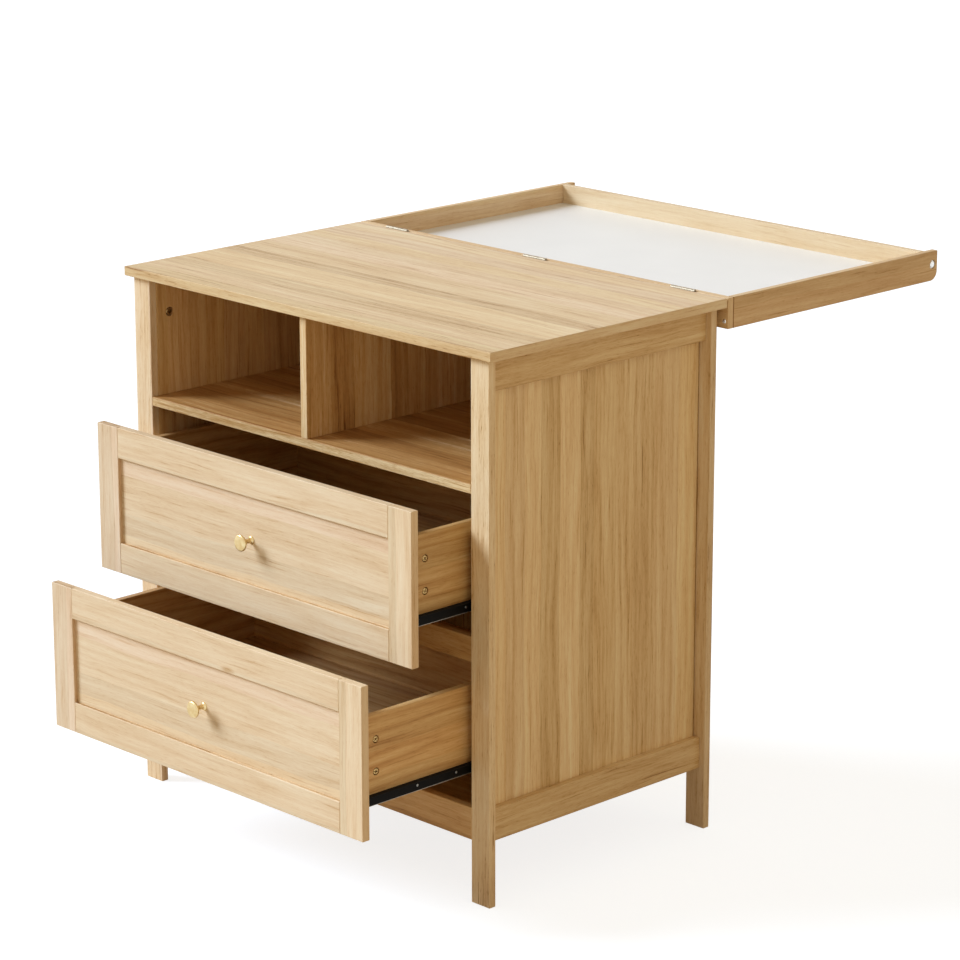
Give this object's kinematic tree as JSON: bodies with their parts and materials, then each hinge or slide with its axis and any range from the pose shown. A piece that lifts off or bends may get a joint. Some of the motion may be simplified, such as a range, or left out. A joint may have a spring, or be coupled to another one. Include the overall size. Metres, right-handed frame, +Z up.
{
  "type": "changing dresser",
  "caption": "Changing dresser in light oak board: open divided shelf, sliding drawers with round knobs, and a railed changing tray hinged behind the top so it folds flat over it.",
  "frame": {"origin": "on the floor, at the middle of the whole object's footprint with the drawers out as at rest and the tray laid open behind", "axes": "+Z up, +Y towards the back where the tray lies, +X to the right seen from the front"},
  "size_m": [0.836, 1.249, 0.8682],
  "materials": {
    "oak_board": "light oak foil on board, satin",
    "thin_panel": "light oak foil on hardboard, satin",
    "white_panel": "white lacquered hardboard, satin",
    "brass": "polished",
    "hinge_brass": "plated steel, satin",
    "runner_steel": "black epoxy, satin",
    "cam_zinc": "die-cast zinc, satin",
    "screw_steel": "zinc plated",
    "nylon": "moulded nylon"
  },
  "bodies": {
    "carcass": {"back_panel": "thin_panel", "bottom_panel": "thin_panel", "bottom_rail_front": "oak_board", "bottom_rail_rear": "oak_board", "cabinet_runners": "runner_steel", "divider": "oak_board", "hinge_leaves_fixed": "hinge_brass", "leg_front_left": "oak_board", "leg_front_right": "oak_board", "leg_rear_left": "oak_board", "leg_rear_right": "oak_board", "middle_rail": "oak_board", "shelf": "oak_board", "side_panel_left": "oak_board", "side_panel_right": "oak_board", "side_rail_bottom_left": "oak_board", "side_rail_bottom_right": "oak_board", "side_rail_top_left": "oak_board", "side_rail_top_right": "oak_board", "top_board": "oak_board"},
    "tray": {"hinge_leaves_tray": "hinge_brass", "tray_panel": "white_panel", "tray_rail_far": "oak_board", "tray_rail_left": "oak_board", "tray_rail_near": "oak_board", "tray_rail_right": "oak_board"},
    "lower_drawer": {"lower_box_back": "oak_board", "lower_box_floor": "thin_panel", "lower_box_side_left": "oak_board", "lower_box_side_right": "oak_board", "lower_cross_rail_bottom": "oak_board", "lower_cross_rail_top": "oak_board", "lower_drawer_runners": "runner_steel", "lower_front_panel": "oak_board", "lower_knob": "brass", "lower_stile_left": "oak_board", "lower_stile_right": "oak_board"},
    "lower_cabinet_rollers": {"lower_cabinet_rollers": "nylon"},
    "lower_drawer_rollers": {"lower_drawer_rollers": "nylon"},
    "upper_drawer": {"upper_box_back": "oak_board", "upper_box_floor": "thin_panel", "upper_box_side_left": "oak_board", "upper_box_side_right": "oak_board", "upper_cross_rail_bottom": "oak_board", "upper_cross_rail_top": "oak_board", "upper_drawer_runners": "runner_steel", "upper_front_panel": "oak_board", "upper_knob": "brass", "upper_stile_left": "oak_board", "upper_stile_right": "oak_board"},
    "upper_cabinet_rollers": {"upper_cabinet_rollers": "nylon"},
    "upper_drawer_rollers": {"upper_drawer_rollers": "nylon"}
  },
  "joints": [
    {"name": "upper_drawer_slide", "type": "slide", "parent": "carcass", "child": "upper_drawer", "axis": [0, -1, 0], "range_m": [-0.1165, 0.1835]},
    {"name": "lower_drawer_slide", "type": "slide", "parent": "carcass", "child": "lower_drawer", "axis": [0, -1, 0], "range_m": [-0.2175, 0.0825]},
    {"name": "tray_hinge", "type": "hinge", "parent": "carcass", "child": "tray", "pos_m": [0, 0.1135, 0.86525], "axis": [1, 0, 0], "range_deg": [0, 180]},
    {"name": "upper_cabinet_rollers_spin", "type": "hinge", "parent": "carcass", "child": "upper_cabinet_rollers", "pos_m": [0, -0.362, 0.466], "axis": [1, 0, 0], "range_deg": [-894.99, 1406.84]},
    {"name": "upper_drawer_rollers_spin", "type": "hinge", "parent": "upper_drawer", "child": "upper_drawer_rollers", "pos_m": [0, -0.1025, 0.4647], "axis": [1, 0, 0], "range_deg": [-972.39, 1528.74]},
    {"name": "lower_cabinet_rollers_spin", "type": "hinge", "parent": "carcass", "child": "lower_cabinet_rollers", "pos_m": [0, -0.362, 0.2115], "axis": [1, 0, 0], "range_deg": [-1666.58, 635.25]},
    {"name": "lower_drawer_rollers_spin", "type": "hinge", "parent": "lower_drawer", "child": "lower_drawer_rollers", "pos_m": [0, -0.2035, 0.2102], "axis": [1, 0, 0], "range_deg": [-1811.06, 690.06]}
  ],
  "couplings": [
    {"joint": "upper_cabinet_rollers_spin", "follows": "upper_drawer_slide", "rad_per_m": 133.33},
    {"joint": "upper_drawer_rollers_spin", "follows": "upper_drawer_slide", "rad_per_m": 144.93},
    {"joint": "lower_cabinet_rollers_spin", "follows": "lower_drawer_slide", "rad_per_m": 133.33},
    {"joint": "lower_drawer_rollers_spin", "follows": "lower_drawer_slide", "rad_per_m": 144.93}
  ]
}
